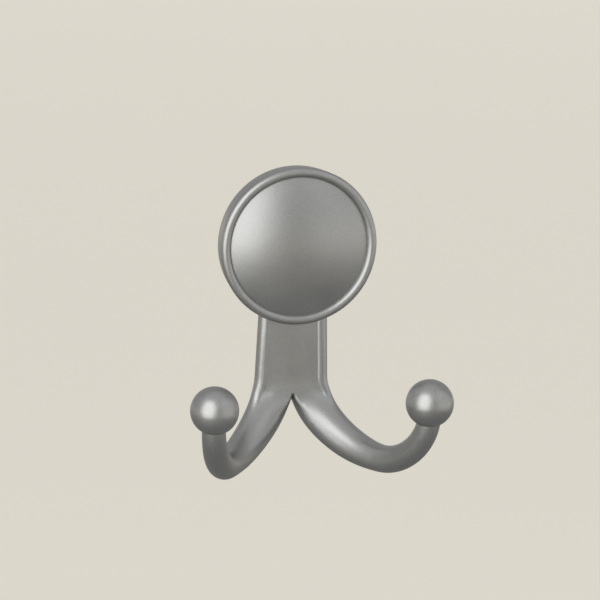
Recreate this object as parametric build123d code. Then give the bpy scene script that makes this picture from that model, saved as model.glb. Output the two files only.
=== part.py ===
from build123d import *
import os
from math import asin, cos, degrees, radians, sin, sqrt, tan

"""Double wall hook, cast in one piece: a round domed base with a raised bead round its rim,
a flat neck with a bead along each edge, and two prongs that curve down, forward and up to ball ends.

Frame: origin at the centre of the base on the wall plane, +X right, +Y into the wall, +Z up.
All sizes are in millimetres.
"""

# Round base
base_diameter = 47.2
back_diameter = 45.9
base_side_height = 7.2
back_edge_radius = 0.8
bead_radius = 1.5
dome_rise = 4.7
dome_edge_lift = 0.5

# Cored back of the base, with a tapped boss for a hidden fixing stud
casting_wall = 2.4
boss_diameter = 12.0
tapping_diameter = 4.2
tapped_depth = 7.5

# Flat neck, made of two straps that part at the crotch
neck_width = 20.5
neck_thickness = 5.0
strap_sink = 0.6
strap_root = 4.7
neck_flare = 0.75
strap_width = 12.0
strap_overlap = 0.8
strap_tilt = 4.5
edge_bead_radius = 1.5
edge_bead_lift = 0.35
inner_corner_radius = 1.8
back_corner_radius = 2.5
valley_drop = 30.0
crotch_drop = 47.5
parting_drop = 40.7
parting_lift = 0.3

# Prongs
prong_root_diameter = 12.2
prong_low_diameter = 8.26
prong_tip_diameter = 6.5
prong_low_drop = 61.5
prong_low_spread = 46.1
prong_low_reach = 21.4
prong_heading = 58.9
prong_tip_lean = 11.0
narrowing_share = 0.42
flat_share = 0.13
round_share = 0.60
descent_fullness = 0.52
rise_fullness = 0.50

# Ball ends
ball_diameter = 14.0
ball_spread = 63.9
ball_reach = 39.8
ball_drop = 40.2

# How finely the lofted straps are stationed
neck_stations = 6
prong_stations = 12

base_radius = base_diameter / 2
back_radius = back_diameter / 2
bead_centre = base_radius - bead_radius
dome_edge_radius = bead_centre - sqrt(bead_radius**2 - dome_edge_lift**2)
dome_edge_height = base_side_height + dome_edge_lift
dome_height = dome_edge_height + dome_rise
dome_radius = (dome_edge_radius**2 + dome_rise**2) / (2 * dome_rise)
ball_radius = ball_diameter / 2
strap_half_thickness = (neck_thickness + strap_sink) / 2


def round_base():
    """Base with bead and dome, turned about the Y axis from one half profile."""
    back = Line((0, 0), (back_radius, 0))
    side = Line((back_radius, 0), (base_radius, -base_side_height))
    bead = ThreePointArc(
        (base_radius, -base_side_height),
        (bead_centre, -base_side_height - bead_radius),
        (dome_edge_radius, -dome_edge_height),
    )
    dome = RadiusArc((dome_edge_radius, -dome_edge_height), (0, -dome_height), dome_radius)
    axis = Line((0, -dome_height), (0, 0))
    profile = make_face([back, side, bead, dome, axis])
    back_corner = profile.vertices().sort_by_distance((back_radius, 0))[0]
    profile = fillet(back_corner, back_edge_radius)
    return revolve(profile, Axis.Y)


def back_core():
    """Hollow behind the dome that leaves an even wall, with the boss left standing in it."""
    core_radius = back_radius - casting_wall - back_edge_radius
    inner_dome = dome_radius - casting_wall
    inner_rise = sqrt(inner_dome**2 - core_radius**2)
    sphere_centre = dome_radius - dome_height
    back = Line((0, 0), (core_radius, 0))
    wall = Line((core_radius, 0), (core_radius, sphere_centre - inner_rise))
    floor = RadiusArc(
        (core_radius, sphere_centre - inner_rise), (0, sphere_centre - inner_dome), inner_dome
    )
    axis = Line((0, sphere_centre - inner_dome), (0, 0))
    core = revolve(make_face([back, wall, floor, axis]), Axis.Y)
    boss_plane = Plane((0, 0, 0), x_dir=(1, 0, 0), z_dir=(0, -1, 0))
    boss = extrude(boss_plane * Circle(boss_diameter / 2), dome_height)
    tapped_hole = extrude(boss_plane * Circle(tapping_diameter / 2), tapped_depth)
    return core - boss + tapped_hole


def prong_path():
    """Centreline of the right strap and prong: straight neck, descent to the lowest point, rise."""
    strap_x = (neck_width - strap_width) / 2
    strap_y = strap_sink - strap_half_thickness
    top = Vector(strap_x, strap_y, strap_root - base_radius)
    parting = Vector(strap_x + neck_flare, strap_y - parting_lift, -parting_drop)
    low = Vector(prong_low_spread / 2, -prong_low_reach, -prong_low_drop)
    ball = Vector(ball_spread / 2, -ball_reach, -ball_drop)

    down = (parting - top).normalized()
    heading = Vector(cos(radians(prong_heading)), -sin(radians(prong_heading)), 0)
    up = Vector(0, 0, cos(radians(prong_tip_lean))) - heading * sin(radians(prong_tip_lean))

    descent = low - parting
    rise = ball - low
    descent_run = Vector(descent.X, descent.Y, 0).length
    rise_run = Vector(rise.X, rise.Y, 0).length
    neck = Line(top, parting)
    falling = Bezier(
        parting,
        parting + down * (descent_fullness * -descent.Z),
        low - heading * (descent_fullness * descent_run),
        low,
    )
    rising = Bezier(
        low,
        low + heading * (rise_fullness * rise_run),
        ball - up * (rise_fullness * rise.Z),
        ball,
    )
    return neck, falling, rising


def on_circle(centre, radius, angle):
    """Point of a circle at an angle in degrees, across and towards the front."""
    return centre + Vector(cos(radians(angle)), sin(radians(angle)), 0) * radius


def arc(centre, radius, start, stop):
    """Bezier points of a circle's arc between two angles in degrees."""
    handle = radius * 4 / 3 * tan(radians(stop - start) / 4)
    first = on_circle(centre, radius, start)
    last = on_circle(centre, radius, stop)
    leaving = on_circle(Vector(), handle, start + 90)
    arriving = on_circle(Vector(), handle, stop + 90)
    return [first, first + leaving, last - arriving, last]


def flat_outline(outer, inner, half):
    """Section of the flat strap, anticlockwise from its outer side, as Bezier points edge by edge.

    A bead stands on the outer front edge, and a straight field runs from its foot to the middle.
    The other three corners are plain rounds. A corner's arc takes the straight run beside it along.
    """
    bead = Vector(outer - edge_bead_radius, half + edge_bead_lift - edge_bead_radius, 0)
    foot = 180 - degrees(asin(1 - edge_bead_lift / edge_bead_radius))
    inner_round = Vector(inner_corner_radius - inner, half - inner_corner_radius, 0)
    inner_back = Vector(back_corner_radius - inner, back_corner_radius - half, 0)
    outer_back = Vector(outer - back_corner_radius, back_corner_radius - half, 0)

    outer_side = arc(bead, edge_bead_radius, 0, 45)
    bead_top = arc(bead, edge_bead_radius, 45, foot)
    middle = Vector(0, half, 0)
    field = [bead_top[3], bead_top[3] * 2 / 3 + middle / 3, bead_top[3] / 3 + middle * 2 / 3, middle]
    inner_front = arc(inner_round, inner_corner_radius, 90, 135)
    inner_side = arc(inner_round, inner_corner_radius, 135, 180)
    back_side = arc(inner_back, back_corner_radius, 180, 225)
    inner_level = arc(inner_back, back_corner_radius, 225, 270)
    outer_level = arc(outer_back, back_corner_radius, 270, 315)
    outer_rise = arc(outer_back, back_corner_radius, 315, 360)

    outer_side[0] = Vector(outer, 0, 0)
    inner_front[0] = middle
    inner_side[3] = Vector(-inner, 0, 0)
    back_side[0] = Vector(-inner, 0, 0)
    inner_level[3] = Vector(0, -half, 0)
    outer_level[0] = Vector(0, -half, 0)
    outer_rise[3] = Vector(outer, 0, 0)
    return [
        outer_side, bead_top, field, inner_front, inner_side,
        back_side, inner_level, outer_level, outer_rise,
    ]


def round_outline(outer, inner, half):
    """Oval section with the same edges as the flat one, and a circle where the three sizes are equal."""
    edges = []
    angles = (0, 45, 67.5, 90, 135, 180, 225, 270, 315, 360)
    for start, stop in zip(angles, angles[1:]):
        width = inner if 90 <= start < 270 else outer
        edges.append([Vector(point.X * width, point.Y * half, 0) for point in arc(Vector(), 1, start, stop)])
    return edges


def strap_section(centre, along, turn, outer, inner, half, roundness):
    """Closed section square to the path, between the flat outline and the round one."""
    across = Vector(cos(radians(turn)), sin(radians(turn)), 0)
    across = (across - along * across.dot(along)).normalized()
    front = along.cross(across)
    edges = []
    for flat_edge, round_edge in zip(flat_outline(outer, inner, half), round_outline(outer, inner, half)):
        points = [mix(a, b, roundness) for a, b in zip(flat_edge, round_edge)]
        edges.append(Edge.make_bezier(*[centre + across * p.X + front * p.Y for p in points]))
    return Wire(edges)


def mix(first, last, share):
    """Straight change from first to last."""
    return first + (last - first) * share


def ease(share):
    """Smooth step from 0 to 1, level at both ends and held beyond them."""
    share = min(max(share, 0), 1)
    return share * share * (3 - 2 * share)


def overlap(place):
    """How far a strap runs into the other one there: less and less from the valley to the crotch."""
    return strap_overlap * (1 - ease((-place.Z - valley_drop) / (crotch_drop - valley_drop)))


def right_prong():
    """Strap and prong right of the middle, lofted through sections along the path."""
    neck, falling, rising = prong_path()
    outer = strap_width / 2
    thickness = strap_half_thickness
    root_radius = prong_root_diameter / 2
    low_radius = prong_low_diameter / 2
    tip_radius = prong_tip_diameter / 2
    side_turn = 90 - prong_heading

    sections = []
    for index in range(neck_stations):
        share = index / neck_stations
        place = neck @ share
        sections.append(
            strap_section(place, neck % share, strap_tilt, outer, outer + overlap(place), thickness, 0)
        )
    for index in range(prong_stations):
        share = index / prong_stations
        radius = mix(root_radius, low_radius, share)
        narrowing = ease(share / narrowing_share)
        roundness = ease((share - flat_share) / (round_share - flat_share))
        place = falling @ share
        sections.append(
            strap_section(
                place,
                falling % share,
                mix(strap_tilt, side_turn, ease(share)),
                mix(outer, radius, narrowing),
                mix(outer + overlap(place), radius, narrowing),
                mix(thickness, radius, roundness),
                roundness,
            )
        )
    for index in range(prong_stations + 1):
        share = index / prong_stations
        radius = mix(low_radius, tip_radius, share)
        sections.append(
            strap_section(rising @ share, rising % share, side_turn, radius, radius, radius, 1)
        )
    strap = Solid.make_loft(sections)
    right_of_middle = (Align.MIN, Align.MAX, Align.CENTER)
    in_front_of_wall = Box(ball_spread, 2 * ball_reach, 4 * prong_low_drop, align=right_of_middle)
    return strap & in_front_of_wall


def hook_body():
    """The whole casting: base, both prongs and ball ends, with a flat back on the wall plane."""
    ball = Pos(ball_spread / 2, -ball_reach, -ball_drop) * Sphere(ball_radius)
    arm = right_prong() + ball
    return round_base() + arm + mirror(arm, Plane.YZ) - back_core()


os.makedirs("parts", exist_ok=True)
body = hook_body()
print("valid", body.is_valid, "volume", body.volume, "faces", len(body.faces()))
export_step(body, "parts/hook_body.step")
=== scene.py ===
import math

import bmesh
import bpy
import numpy as np
from mathutils import Matrix, Vector


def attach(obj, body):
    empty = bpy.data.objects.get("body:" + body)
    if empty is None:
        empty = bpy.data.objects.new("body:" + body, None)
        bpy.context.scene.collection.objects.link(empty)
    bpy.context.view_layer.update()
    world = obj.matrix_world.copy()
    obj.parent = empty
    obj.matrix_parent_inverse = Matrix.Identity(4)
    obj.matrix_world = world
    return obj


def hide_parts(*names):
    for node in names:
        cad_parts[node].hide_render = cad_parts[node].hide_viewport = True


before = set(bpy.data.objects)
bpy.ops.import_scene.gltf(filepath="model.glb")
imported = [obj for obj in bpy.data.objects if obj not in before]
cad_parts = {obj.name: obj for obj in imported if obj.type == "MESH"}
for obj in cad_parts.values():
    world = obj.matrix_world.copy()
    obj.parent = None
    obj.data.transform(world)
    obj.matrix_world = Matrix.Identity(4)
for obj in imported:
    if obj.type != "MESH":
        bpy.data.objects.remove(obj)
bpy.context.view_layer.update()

bl_info = {
    "name": "Cast double wall hook",
    "version": (1, 0, 0),
    "blender": (4, 5, 0),
    "location": "View3D > Sidebar > Wall hook",
    "description": "Form, satin nickel finish, studio stage and camera of a cast double wall hook",
    "category": "Object",
}

NODE = "hook_body"

# Lengths are metres in the part's frame: origin at the base's centre on the wall plane,
# +X right, +Y into the wall, +Z up

# Picture: width in pixels, sensor in millimetres, near and far limits of the camera
IMAGE_WIDTH = 600
SENSOR_WIDTH = 36.0
CLIP_RANGE = (0.01, 100.0)

# Softboxes: name, azimuth and elevation in degrees, width and height
SOFTBOX_DISTANCE = 0.9
SOFTBOXES = (
    ("key", -44.0, 14.0, (1.1, 1.55)),
    ("left_fill", -98.0, 15.0, (0.9, 1.3)),
    ("right_fill", 60.0, 6.0, (1.5, 1.7)),
    ("top_fill", -15.0, 68.0, (2.0, 1.8)),
)

# Rings of the floor and of the grey card
FLOOR_RADII = (0.001, 0.5, 1.5, 4.0, 10.0, 30.0)
CARD_RADII = (0.001, 0.3, 0.8, 2.6)
DISC_COLUMNS = 65

# Floor and card: roughness of both, mottle, and the floor's own glow away from the hook
MATT_ROUGHNESS = 0.9
MOTTLE_DETAIL = 2.0
FLOOR_MOTTLE_SCALE = 6.0
FLOOR_MOTTLE_SPREAD = 0.003
GLOW_STRENGTH = 0.57
GLOW_START = 0.6
GLOW_TURN = 1.5
GLOW_FULL = 5.0
GLOW_AT_TURN = 0.88
CARD_MOTTLE_SCALE = 40.0
CARD_TONES = (0.28, 0.32)

# Satin nickel: faint cloud and fine grain, and how much each varies the tone and the roughness
CLOUD_SIZE = 0.012
CLOUD_DETAIL = 3.0
GRAIN_DETAIL = 2.0
TONE_SPREAD = 0.07
CLOUD_IN_TONE = 0.8
GRAIN_IN_TONE = 2.6
CLOUD_IN_ROUGHNESS = 0.08
GRAIN_IN_ROUGHNESS = 0.16

# Right strap and prong of the solid: centreline from the neck to the lowest point, and section
PARTING = np.array((0.0050, -0.0025, -0.0407))
LOW_POINT = np.array((0.02305, -0.0214, -0.0615))
NECK_RUN = np.array((0.00075, -0.0003, -0.0218))
PRONG_HEADING = math.radians(58.9)
DESCENT_FULLNESS = 0.52
DESCENT_STEPS = 400
STRAP_TILT = math.radians(4.5)
STRAP_HALF_WIDTH = 0.006
STRAP_HALF_THICKNESS = 0.0028
SOLID_BEAD_RADIUS = 0.0015
SOLID_BEAD_LIFT = 0.00035
PRONG_REACH = 0.0095

# Wide beads: they grow over a ramp outside the base's radius and end at a share of the descent
BASE_REACH = 0.02335
BEAD_RAMP = 0.0006
BEAD_END = 0.42

# Oval prongs: turn of the oval at the lowest point, delay on the outer side, ease at the crotch
OVAL_TURN = math.radians(-40.0)
BEAD_DELAY = 0.14
NARROWING_POWER = 1.6
CROTCH_EASE = 0.0025
LEAST_LENGTH = 1e-9

# Groove above the crotch: top, level and curve of the field beside it, limits and fading of the fill
GROOVE_TOP = -0.0400
GROOVE_FIELD = -0.00549
GROOVE_CURVE = 18.6
GROOVE_HALF_WIDTH = 0.0016
GROOVE_DEEPEST = -0.0035
GROOVE_RAMP = 0.0010
GROOVE_FADE_FROM = 0.0047
GROOVE_FADE = 0.0011

# Heights where the mesh gets extra points, below the base and above the crotch
NECK_CUTS = np.linspace(-0.0210, -0.0242, 13)
CROTCH_CUTS = np.linspace(-0.0405, -0.0460, 12)


class Shade:
    """One output socket of a shader tree. Arithmetic on it adds Math nodes."""

    def __init__(self, tree, socket=None):
        self.tree = tree
        self.socket = socket

    def node(self, kind, settings=None, inputs=None, output=0):
        """Adds a node: its settings are set first, then each input gets its value or link."""
        made = self.tree.nodes.new(kind)
        for name, value in (settings or {}).items():
            setattr(made, name, value)
        for name, value in (inputs or {}).items():
            if isinstance(value, Shade):
                self.tree.links.new(value.socket, made.inputs[name])
            else:
                made.inputs[name].default_value = value
        return Shade(self.tree, made.outputs[output] if made.outputs else None)

    def math(self, operation, *values):
        """A Math node on values and sockets."""
        return self.node("ShaderNodeMath", {"operation": operation}, dict(enumerate(values)))

    def __add__(self, other):
        return self.math("ADD", self, other)

    __radd__ = __add__

    def __sub__(self, other):
        return self.math("SUBTRACT", self, other)

    def __rsub__(self, other):
        return self.math("SUBTRACT", other, self)

    def __mul__(self, other):
        return self.math("MULTIPLY", self, other)

    __rmul__ = __mul__


class HookFormSettings(bpy.types.PropertyGroup):
    """Beads of the neck, section of the prongs down to their lowest point, and mesh of the casting."""

    bead_radius: bpy.props.FloatProperty(
        name="Bead radius", description="Radius of the bead along each edge of the neck",
        subtype="DISTANCE", unit="LENGTH", min=0.0015, max=0.0028, default=0.0023, precision=5,
    )
    bead_lift: bpy.props.FloatProperty(
        name="Bead lift", description="Height of the bead over the field of the neck",
        subtype="DISTANCE", unit="LENGTH", min=0.0001, max=0.001, default=0.00036, precision=5,
    )
    root_radius: bpy.props.FloatProperty(
        name="Root half width", description="Half width of a prong's oval where it leaves the neck",
        subtype="DISTANCE", unit="LENGTH", min=0.001, max=0.02, default=0.0061, precision=5,
    )
    low_radius: bpy.props.FloatProperty(
        name="Low radius", description="Radius of a prong's round section at its lowest point",
        subtype="DISTANCE", unit="LENGTH", min=0.001, max=0.02, default=0.00413, precision=5,
    )
    root_depth: bpy.props.FloatProperty(
        name="Root half depth", description="Half depth of a prong's oval where it leaves the neck",
        subtype="DISTANCE", unit="LENGTH", min=0.001, max=0.02, default=0.0028, precision=5,
    )
    fullness: bpy.props.FloatProperty(
        name="Fullness", description="Extra half depth of the oval halfway down",
        subtype="DISTANCE", unit="LENGTH", min=0.0, max=0.005, default=0.0006, precision=5,
    )
    oval_start: bpy.props.FloatProperty(
        name="Oval start", description="Share of the descent where the flat section starts to turn oval",
        subtype="FACTOR", min=0.0, max=1.0, default=0.0,
    )
    oval_full: bpy.props.FloatProperty(
        name="Oval full", description="Share of the descent where the section is a full oval",
        subtype="FACTOR", min=0.0, max=1.0, default=0.38,
    )
    merge_distance: bpy.props.FloatProperty(
        name="Merge distance", description="Corners of the casting nearer than this become one",
        subtype="DISTANCE", unit="LENGTH", min=0.0, max=0.001, default=0.000002, precision=6,
    )
    sharp_angle: bpy.props.FloatProperty(
        name="Sharp angle", description="Edges that turn more than this stay sharp",
        subtype="ANGLE", unit="ROTATION", default=math.radians(24.0),
    )


class HookFinishSettings(bpy.types.PropertyGroup):
    """Satin nickel plate of the casting."""

    metal_colour: bpy.props.FloatVectorProperty(
        name="Metal colour", description="Mean colour of the plated surface",
        subtype="COLOR", size=3, min=0.0, max=1.0, default=(0.418, 0.421, 0.414),
    )
    roughness: bpy.props.FloatProperty(
        name="Roughness", description="Mean roughness of the satin surface",
        subtype="FACTOR", min=0.0, max=1.0, default=0.37,
    )
    grain_size: bpy.props.FloatProperty(
        name="Grain size", description="Width of one grain of the blasted surface under the plate",
        subtype="DISTANCE", unit="LENGTH", min=0.00002, max=0.005, default=0.00042,
    )
    grain_depth: bpy.props.FloatProperty(
        name="Grain depth", description="Height of the grain",
        subtype="DISTANCE", unit="LENGTH", min=0.0, max=0.0005, default=0.000014,
    )


class HookStageSettings(bpy.types.PropertyGroup):
    """Floor, lights and camera."""

    floor_colour: bpy.props.FloatVectorProperty(
        name="Floor colour", description="Colour of the plain pale floor",
        subtype="COLOR", size=3, min=0.0, max=1.0, default=(0.723, 0.687, 0.604),
    )
    floor_drop: bpy.props.FloatProperty(
        name="Floor drop", description="Height of the hook's wall centre above the floor",
        subtype="DISTANCE", unit="LENGTH", min=0.1, max=3.0, default=0.55,
    )
    card_drop: bpy.props.FloatProperty(
        name="Card drop", description="Height of the hook's wall centre above the grey card",
        subtype="DISTANCE", unit="LENGTH", min=0.1, max=3.0, default=0.30,
    )
    room_light: bpy.props.FloatProperty(
        name="Room light", description="Strength of the even grey light of the room",
        min=0.0, max=2.0, default=0.42,
    )
    key_power: bpy.props.FloatProperty(
        name="Key power", description="Power of the large softbox left of the camera",
        subtype="POWER", unit="POWER", min=0.0, max=200.0, default=6.6,
    )
    left_power: bpy.props.FloatProperty(
        name="Left fill power", description="Power of the wide softbox on the left",
        subtype="POWER", unit="POWER", min=0.0, max=200.0, default=0.2,
    )
    right_power: bpy.props.FloatProperty(
        name="Right fill power", description="Power of the wide softbox on the right",
        subtype="POWER", unit="POWER", min=0.0, max=200.0, default=1.95,
    )
    top_power: bpy.props.FloatProperty(
        name="Top fill power", description="Power of the softbox overhead",
        subtype="POWER", unit="POWER", min=0.0, max=200.0, default=1.9,
    )
    camera_azimuth: bpy.props.FloatProperty(
        name="Camera azimuth", description="Angle of the view round the hook, 0 is square to the wall",
        subtype="ANGLE", unit="ROTATION", default=math.radians(-15.0),
    )
    camera_elevation: bpy.props.FloatProperty(
        name="Camera elevation", description="Angle of the view above the horizon",
        subtype="ANGLE", unit="ROTATION", default=math.radians(12.85),
    )
    camera_roll: bpy.props.FloatProperty(
        name="Camera roll", description="Turn of the picture about the line of sight",
        subtype="ANGLE", unit="ROTATION", default=math.radians(1.9),
    )
    camera_distance: bpy.props.FloatProperty(
        name="Camera distance", description="Distance from the camera to the point in mid picture",
        subtype="DISTANCE", unit="LENGTH", min=0.1, max=5.0, default=0.9,
    )
    camera_target: bpy.props.FloatVectorProperty(
        name="Camera target", description="Point in the middle of the picture",
        subtype="XYZ", unit="LENGTH", size=3, default=(0.00066, -0.0077, -0.01608),
    )
    camera_focal_pixels: bpy.props.FloatProperty(
        name="Focal length in pixels", description="Focal length in pixels of the 600 pixel picture",
        min=100.0, max=20000.0, default=3051.0,
    )


def new_material(name):
    """A node material with only its output node, and the Shade that adds to its tree."""
    material = bpy.data.materials.new(name)
    material.use_nodes = True
    material.node_tree.nodes.clear()
    return material, Shade(material.node_tree)


def close_material(shade, surface):
    """Links a finished shader to the tree's output."""
    shade.node("ShaderNodeOutputMaterial", None, {"Surface": surface})


def noise(shade, place, scale, detail):
    """Noise from 0 to 1 at a place."""
    inputs = {"Vector": place, "Scale": scale, "Detail": detail}
    return shade.node("ShaderNodeTexNoise", None, inputs, "Fac")


def mixed_colour(shade, share, first, last):
    """Change from the first colour to the last, by a Mix node's colour sockets: 6 and 7 in, 2 out."""
    return shade.node("ShaderNodeMix", {"data_type": "RGBA"}, {0: share, 6: first, 7: last}, 2)


def tones_about(colour, spread):
    """A darker and a lighter opaque tone, a share below and above a colour."""
    colour = Vector(colour)
    return (*(colour * (1.0 - spread)), 1.0), (*(colour * (1.0 + spread)), 1.0)


def satin_nickel(settings):
    """Satin nickel plate over a blasted casting: fine grain, faint cloudy tone."""
    material, shade = new_material("satin_nickel")
    place = shade.node("ShaderNodeTexCoord", output="Object")
    grain_height = noise(shade, place, 1.0 / settings.grain_size, GRAIN_DETAIL)
    grain = grain_height - 0.5
    cloud = noise(shade, place, 1.0 / CLOUD_SIZE, CLOUD_DETAIL) - 0.5
    share = 0.5 + cloud * CLOUD_IN_TONE + grain * GRAIN_IN_TONE
    tone = mixed_colour(shade, share, *tones_about(settings.metal_colour, TONE_SPREAD))
    rough = settings.roughness + cloud * CLOUD_IN_ROUGHNESS + grain * GRAIN_IN_ROUGHNESS
    bump = shade.node(
        "ShaderNodeBump", None,
        {"Height": grain_height * settings.grain_depth, "Distance": 1.0, "Strength": 1.0},
    )
    surface = shade.node(
        "ShaderNodeBsdfPrincipled", None,
        {"Base Color": tone, "Metallic": 1.0, "Roughness": rough, "Normal": bump},
    )
    close_material(shade, surface)
    return material


def floor_material(settings):
    """Plain matt floor with a trace of mottle, and a glow of its own that grows away from the hook."""
    material, shade = new_material("pale_floor")
    place = shade.node("ShaderNodeTexCoord", output="Object")
    mottle = noise(shade, place, FLOOR_MOTTLE_SCALE, MOTTLE_DETAIL)
    tone = mixed_colour(shade, mottle, *tones_about(settings.floor_colour, FLOOR_MOTTLE_SPREAD))
    spread = shade.node("ShaderNodeVectorMath", {"operation": "LENGTH"}, {0: place}, "Value")
    far = shade.node(
        "ShaderNodeMapRange", {"interpolation_type": "SMOOTHSTEP"},
        {"Value": spread, "From Min": GLOW_START, "From Max": GLOW_TURN},
    )
    farther = shade.node(
        "ShaderNodeMapRange", None, {"Value": spread, "From Min": GLOW_TURN, "From Max": GLOW_FULL}
    )
    share = far * GLOW_AT_TURN + farther * (1.0 - GLOW_AT_TURN)
    glow = mixed_colour(shade, share, (0.0, 0.0, 0.0, 1.0), tone)
    surface = shade.node(
        "ShaderNodeBsdfPrincipled", None,
        {
            "Base Color": tone, "Roughness": MATT_ROUGHNESS,
            "Emission Color": glow, "Emission Strength": GLOW_STRENGTH,
        },
    )
    close_material(shade, surface)
    return material


def card_material():
    """Matt grey card that thins out from its middle to nothing at its rim."""
    material, shade = new_material("grey_card")
    place = shade.node("ShaderNodeTexCoord", output="Object")
    mottle = noise(shade, place, CARD_MOTTLE_SCALE, MOTTLE_DETAIL)
    dark, light = CARD_TONES
    tone = mixed_colour(shade, mottle, (dark, dark, dark, 1.0), (light, light, light, 1.0))
    level_place = shade.node(
        "ShaderNodeVectorMath", {"operation": "MULTIPLY"}, {0: place, 1: (1.0, 1.0, 0.0)}
    )
    spread = shade.node("ShaderNodeVectorMath", {"operation": "LENGTH"}, {0: level_place}, "Value")
    cover = shade.node(
        "ShaderNodeMapRange", None,
        {"Value": spread, "From Max": CARD_RADII[-1], "To Min": 1.0, "To Max": 0.0},
    )
    surface = shade.node(
        "ShaderNodeBsdfPrincipled", None,
        {"Base Color": tone, "Roughness": MATT_ROUGHNESS, "Alpha": cover},
    )
    close_material(shade, surface)
    return material


def disc_mesh(name, radii, height):
    """Level disc: each ring radius turned once about the vertical, at one height."""
    radius = np.array(radii)[:, None]
    angle = np.linspace(0.0, 2.0 * math.pi, DISC_COLUMNS)[None, :]
    level = np.full((len(radii), DISC_COLUMNS), height)
    return grid_mesh(name, np.stack((radius * np.cos(angle), radius * np.sin(angle), level), axis=-1))


def grid_mesh(name, points):
    """Mesh of a surface given as an array of points, rows by columns by three."""
    rows, columns = points.shape[:2]
    index = np.arange(rows * columns).reshape(rows, columns)
    faces = np.stack(
        (index[:-1, :-1], index[:-1, 1:], index[1:, 1:], index[1:, :-1]), axis=-1
    ).reshape(-1, 4)
    mesh = bpy.data.meshes.new(name)
    mesh.from_pydata(points.reshape(-1, 3).tolist(), [], faces.tolist())
    mesh.update()
    return mesh


def unit(vectors):
    """Each vector of an array at length one."""
    return vectors / np.linalg.norm(vectors, axis=-1, keepdims=True)


def ease(share):
    """Smooth step of an array from 0 to 1, level at both ends and held beyond them."""
    share = np.clip(share, 0.0, 1.0)
    return share * share * (3.0 - 2.0 * share)


def descent_curve(share):
    """Points and directions of the right prong's centreline from the neck to its lowest point.

    A cubic Bezier: it leaves along the neck, and arrives level, along the prong's heading.
    """
    heading = np.array((math.cos(PRONG_HEADING), -math.sin(PRONG_HEADING), 0.0))
    drop = PARTING[2] - LOW_POINT[2]
    run = math.hypot(*(LOW_POINT - PARTING)[:2])
    first, last = PARTING, LOW_POINT
    leaving = first + unit(NECK_RUN) * DESCENT_FULLNESS * drop
    arriving = last - heading * DESCENT_FULLNESS * run
    done = share[:, None]
    left = 1.0 - done
    points = (
        left**3 * first + 3.0 * done * left**2 * leaving
        + 3.0 * done**2 * left * arriving + done**3 * last
    )
    speeds = (
        left**2 * (leaving - first) + 2.0 * done * left * (arriving - leaving)
        + done**2 * (last - arriving)
    )
    return points, unit(speeds)


def right_half(points):
    """Points with the left ones mirrored to the right, and the factors that mirror them back."""
    side = np.ones_like(points)
    side[points[:, 0] < 0.0, 0] = -1.0
    return points * side, side


def strap_places(right, last_turn):
    """Nearest place of each point on the right strap's centreline.

    Gives the share of the descent there, the offset from the centreline, and the across and front
    directions square to it. Above the parting the centreline is the straight neck, at share 0.
    """
    curve, directions = descent_curve(np.linspace(0.0, 1.0, DESCENT_STEPS + 1))
    nearest = ((curve**2).sum(1) - 2.0 * right @ curve.T).argmin(1)
    share = nearest / DESCENT_STEPS
    along = directions[nearest]
    turn = STRAP_TILT + (last_turn - STRAP_TILT) * ease(share)
    across = np.stack((np.cos(turn), np.sin(turn), np.zeros_like(turn)), axis=1)
    across = unit(across - along * (across * along).sum(1, keepdims=True))
    front = np.cross(along, across)
    offset = right - curve[nearest]
    rise = (offset * along).sum(1, keepdims=True) * (nearest == 0)[:, None]
    return share, offset - along * rise, across, front


def bead_circle(radius, lift):
    """Centre across and to the front of a bead's circle, and the angle of its foot on the field."""
    centre = np.array((STRAP_HALF_WIDTH - radius, STRAP_HALF_THICKNESS + lift - radius))
    return centre, math.pi - math.asin(1.0 - lift / radius)


def wide_beads(points, settings):
    """Points of the casting with the neck's beads widened from the solid's to the set radius.

    A point of the old bead goes to the same share of the new bead's arc. The side below the bead
    and the field beside it are shortened in proportion, so the surface stays whole. The change
    grows from nothing at the base, and fades out down the prong.
    """
    right, side = right_half(points)
    share, offset, across, front = strap_places(right, math.pi / 2 - PRONG_HEADING)
    aside = (offset * across).sum(1)
    ahead = (offset * front).sum(1)
    old, old_foot = bead_circle(SOLID_BEAD_RADIUS, SOLID_BEAD_LIFT)
    new, new_foot = bead_circle(settings.bead_radius, settings.bead_lift)
    old_edge = old[0] + SOLID_BEAD_RADIUS * math.cos(old_foot)
    new_edge = new[0] + settings.bead_radius * math.cos(new_foot)
    angle = np.clip(np.arctan2(ahead - old[1], aside - old[0]), 0.0, old_foot)
    new_angle = angle * new_foot / old_foot
    on_bead = (ahead >= old[1]) & (aside >= old_edge)
    on_side = (ahead > 0.0) & (ahead < old[1]) & (aside > old[0])
    on_field = (aside > 0.0) & (aside < old_edge) & (ahead > 0.0)
    shift_across = on_bead * (
        new[0] - old[0] + settings.bead_radius * np.cos(new_angle) - SOLID_BEAD_RADIUS * np.cos(angle)
    )
    shift_front = on_bead * (
        new[1] - old[1] + settings.bead_radius * np.sin(new_angle) - SOLID_BEAD_RADIUS * np.sin(angle)
    )
    shift_across = shift_across + on_field * aside * (new_edge / old_edge - 1.0)
    shift_front = shift_front + on_side * ahead * (new[1] / old[1] - 1.0)
    clear_of_base = np.hypot(right[:, 0], right[:, 2]) - BASE_REACH
    weight = ease(clear_of_base / BEAD_RAMP) * (1.0 - ease(share / BEAD_END))
    weight = weight * (np.linalg.norm(offset, axis=1) < PRONG_REACH)
    moved = right + across * (shift_across * weight)[:, None] + front * (shift_front * weight)[:, None]
    return moved * side


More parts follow.
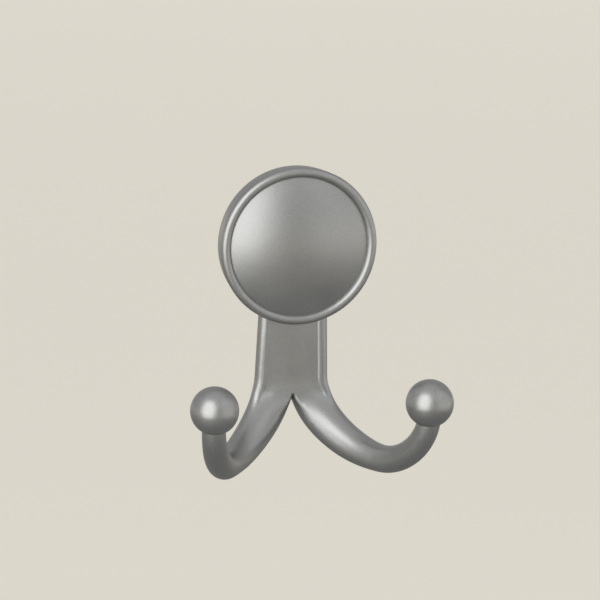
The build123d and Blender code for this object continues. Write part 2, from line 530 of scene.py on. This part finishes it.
def oval_prongs(points, settings):
    """Points of the casting with the prongs' descent drawn towards an oval section.

    A point's offset from the centreline is stretched to the radius that an oval has in that
    direction. The oval's half width and half depth go from the root's to the lowest point's, with
    a fullness added to the depth that is greatest halfway. The weight grows from 0 at the neck to
    1, later on the outer side where the bead runs out, and fades out towards the crotch.
    """
    right, side = right_half(points)
    share, offset, across, front = strap_places(right, OVAL_TURN)
    radius = np.linalg.norm(offset, axis=1) + LEAST_LENGTH
    aside = (offset * across).sum(1) / radius
    ahead = (offset * front).sum(1) / radius
    width = settings.root_radius + (settings.low_radius - settings.root_radius) * share**NARROWING_POWER
    depth = settings.root_depth + (settings.low_radius - settings.root_depth) * share
    depth = depth + settings.fullness * 4.0 * share * (1.0 - share)
    oval = 1.0 / np.sqrt((aside / width) ** 2 + (ahead / depth) ** 2)
    on_prong = (share > 0.0) & (share < 1.0) & (radius < PRONG_REACH) & (right[:, 2] < PARTING[2])
    late = share - settings.oval_start - BEAD_DELAY * np.clip(aside, 0.0, 1.0)
    weight = ease(late / (settings.oval_full - settings.oval_start))
    weight = weight * ease(right[:, 0] / CROTCH_EASE) * on_prong
    moved = right + offset * ((oval / radius - 1.0) * weight)[:, None]
    moved[:, 1] = np.minimum(moved[:, 1], 0.0)
    return moved * side


def filled_groove(points):
    """Points of the casting with the groove above the crotch brought forward to the field's level.

    The field beside the groove runs forward as the square of the drop below the groove's top.
    The fill grows from nothing at the top and fades out just above the crotch.
    """
    right, side = right_half(points)
    drop = GROOVE_TOP - right[:, 2]
    level = GROOVE_FIELD - GROOVE_CURVE * drop**2
    weight = ease(drop / GROOVE_RAMP) * (1.0 - ease((drop - GROOVE_FADE_FROM) / GROOVE_FADE))
    weight = weight * (right[:, 0] < GROOVE_HALF_WIDTH) * (right[:, 1] < GROOVE_DEEPEST)
    moved = right.copy()
    moved[:, 1] = right[:, 1] - np.maximum(right[:, 1] - level, 0.0) * weight
    return moved * side


def sight_line(azimuth, elevation):
    """Direction from the hook to what stands at that azimuth, 0 in front, and elevation."""
    return Vector((
        math.sin(azimuth) * math.cos(elevation),
        -math.cos(azimuth) * math.cos(elevation),
        math.sin(elevation),
    ))


def camera_axes(settings):
    """Right, up and backward directions of the view, from its azimuth, elevation and roll."""
    azimuth, roll = settings.camera_azimuth, settings.camera_roll
    backward = sight_line(azimuth, settings.camera_elevation)
    level = Vector((math.cos(azimuth), math.sin(azimuth), 0.0))
    upright = backward.cross(level)
    right = level * math.cos(roll) + upright * math.sin(roll)
    up = upright * math.cos(roll) - level * math.sin(roll)
    return right, up, backward


class HOOK_OT_casting(bpy.types.Operator):
    """Makes the casting with its wide beads, oval prongs, filled groove and satin nickel plate."""

    bl_idname = "hook.casting"
    bl_label = "Make the casting"

    def execute(self, context):
        mesh = self.merged_copy(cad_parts[NODE].data, context.scene.hook_form)
        mesh.materials.append(satin_nickel(context.scene.hook_finish))
        casting = bpy.data.objects.new("casting", mesh)
        context.scene.collection.objects.link(casting)
        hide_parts(NODE)
        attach(casting, "root")
        return {"FINISHED"}

    def merged_copy(self, loose, settings):
        """Joined copy of a node's mesh with its forms refined, smooth but for its sharp edges."""
        work = bmesh.new()
        work.from_mesh(loose)
        bmesh.ops.remove_doubles(work, verts=work.verts, dist=settings.merge_distance)
        bmesh.ops.dissolve_degenerate(work, edges=work.edges, dist=settings.merge_distance)
        for height in (*NECK_CUTS, *CROTCH_CUTS):
            whole = [*work.verts, *work.edges, *work.faces]
            level = Vector((0.0, 0.0, height))
            bmesh.ops.bisect_plane(work, geom=whole, plane_co=level, plane_no=(0.0, 0.0, 1.0))
        joined = bpy.data.meshes.new("casting")
        work.to_mesh(joined)
        work.free()
        joined.materials.clear()
        points = np.empty(len(joined.vertices) * 3)
        joined.vertices.foreach_get("co", points)
        points = wide_beads(points.reshape(-1, 3), settings)
        points = filled_groove(oval_prongs(points, settings))
        joined.vertices.foreach_set("co", points.ravel())
        joined.update()
        for attribute in ("custom_normal", "sharp_face", "sharp_edge"):
            if attribute in joined.attributes:
                joined.attributes.remove(joined.attributes[attribute])
        joined.shade_smooth()
        joined.set_sharp_from_angle(angle=settings.sharp_angle)
        return joined


class HOOK_OT_stage(bpy.types.Operator):
    """Lays the floor and sets the lights and the camera."""

    bl_idname = "hook.stage"
    bl_label = "Set the stage"

    def execute(self, context):
        settings = context.scene.hook_stage
        self.lay_floor(context, settings)
        self.light_room(context, settings)
        self.lay_card(context, settings)
        powers = (settings.key_power, settings.left_power, settings.right_power, settings.top_power)
        for softbox, power in zip(SOFTBOXES, powers):
            self.hang_softbox(context, *softbox, power)
        self.set_camera(context, settings)
        context.scene.view_settings.view_transform = "Standard"
        return {"FINISHED"}

    def lay_floor(self, context, settings):
        """Pale floor that fills the picture behind the hook."""
        floor = bpy.data.objects.new("floor", disc_mesh("floor", FLOOR_RADII, -settings.floor_drop))
        floor.data.materials.append(floor_material(settings))
        context.scene.collection.objects.link(floor)

    def lay_card(self, context, settings):
        """Grey card under the hook, never in the picture, that keeps the floor out of its reflections."""
        card = bpy.data.objects.new("card", disc_mesh("card", CARD_RADII, -settings.card_drop))
        card.data.materials.append(card_material())
        card.visible_camera = False
        card.visible_shadow = False
        card.visible_diffuse = False
        context.scene.collection.objects.link(card)

    def light_room(self, context, settings):
        """Even grey light from all round."""
        world = bpy.data.worlds.new("room")
        world.use_nodes = True
        world.node_tree.nodes.clear()
        shade = Shade(world.node_tree)
        grey = settings.room_light
        light = shade.node(
            "ShaderNodeBackground", None, {"Color": (grey, grey, grey, 1.0), "Strength": 1.0}
        )
        shade.node("ShaderNodeOutputWorld", None, {"Surface": light})
        context.scene.world = world

    def hang_softbox(self, context, name, azimuth, elevation, size, power):
        """Oval area light that faces the middle of the picture from an azimuth and elevation in degrees."""
        away = sight_line(math.radians(azimuth), math.radians(elevation))
        lamp = bpy.data.lights.new(name, "AREA")
        lamp.shape = "ELLIPSE"
        lamp.size, lamp.size_y = size
        lamp.energy = power
        holder = bpy.data.objects.new(name, lamp)
        holder.location = Vector(context.scene.hook_stage.camera_target) + away * SOFTBOX_DISTANCE
        holder.rotation_mode = "QUATERNION"
        holder.rotation_quaternion = (-away).to_track_quat("-Z", "Y")
        holder.visible_camera = False
        context.scene.collection.objects.link(holder)

    def set_camera(self, context, settings):
        """Camera at its distance from the target, turned to the three axes of the view."""
        target = Vector(settings.camera_target)
        right, up, backward = camera_axes(settings)
        lens = bpy.data.cameras.new("camera")
        lens.sensor_width = SENSOR_WIDTH
        lens.lens = settings.camera_focal_pixels / IMAGE_WIDTH * SENSOR_WIDTH
        lens.clip_start, lens.clip_end = CLIP_RANGE
        camera = bpy.data.objects.new("camera", lens)
        turn = Matrix((right, up, backward)).transposed().to_4x4()
        camera.matrix_world = Matrix.Translation(target + backward * settings.camera_distance) @ turn
        context.scene.collection.objects.link(camera)
        context.scene.camera = camera


class HOOK_PT_sidebar(bpy.types.Panel):
    """Settings and steps of the wall hook."""

    bl_idname = "HOOK_PT_sidebar"
    bl_label = "Wall hook"
    bl_space_type = "VIEW_3D"
    bl_region_type = "UI"
    bl_category = "Wall hook"

    def draw(self, context):
        steps = {"hook_form": None, "hook_finish": HOOK_OT_casting, "hook_stage": HOOK_OT_stage}
        for group, operator in steps.items():
            box = self.layout.box()
            settings = getattr(context.scene, group)
            for name in settings.__annotations__:
                box.prop(settings, name)
            if operator:
                box.operator(operator.bl_idname)


CLASSES = (
    HookFormSettings, HookFinishSettings, HookStageSettings,
    HOOK_OT_casting, HOOK_OT_stage, HOOK_PT_sidebar,
)


def register():
    for each in CLASSES:
        bpy.utils.register_class(each)
    bpy.types.Scene.hook_form = bpy.props.PointerProperty(type=HookFormSettings)
    bpy.types.Scene.hook_finish = bpy.props.PointerProperty(type=HookFinishSettings)
    bpy.types.Scene.hook_stage = bpy.props.PointerProperty(type=HookStageSettings)


def unregister():
    del bpy.types.Scene.hook_stage
    del bpy.types.Scene.hook_finish
    del bpy.types.Scene.hook_form
    for each in reversed(CLASSES):
        bpy.utils.unregister_class(each)


def main():
    """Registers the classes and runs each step."""
    register()
    bpy.ops.hook.casting()
    bpy.ops.hook.stage()


if __name__ == "__main__":
    main()
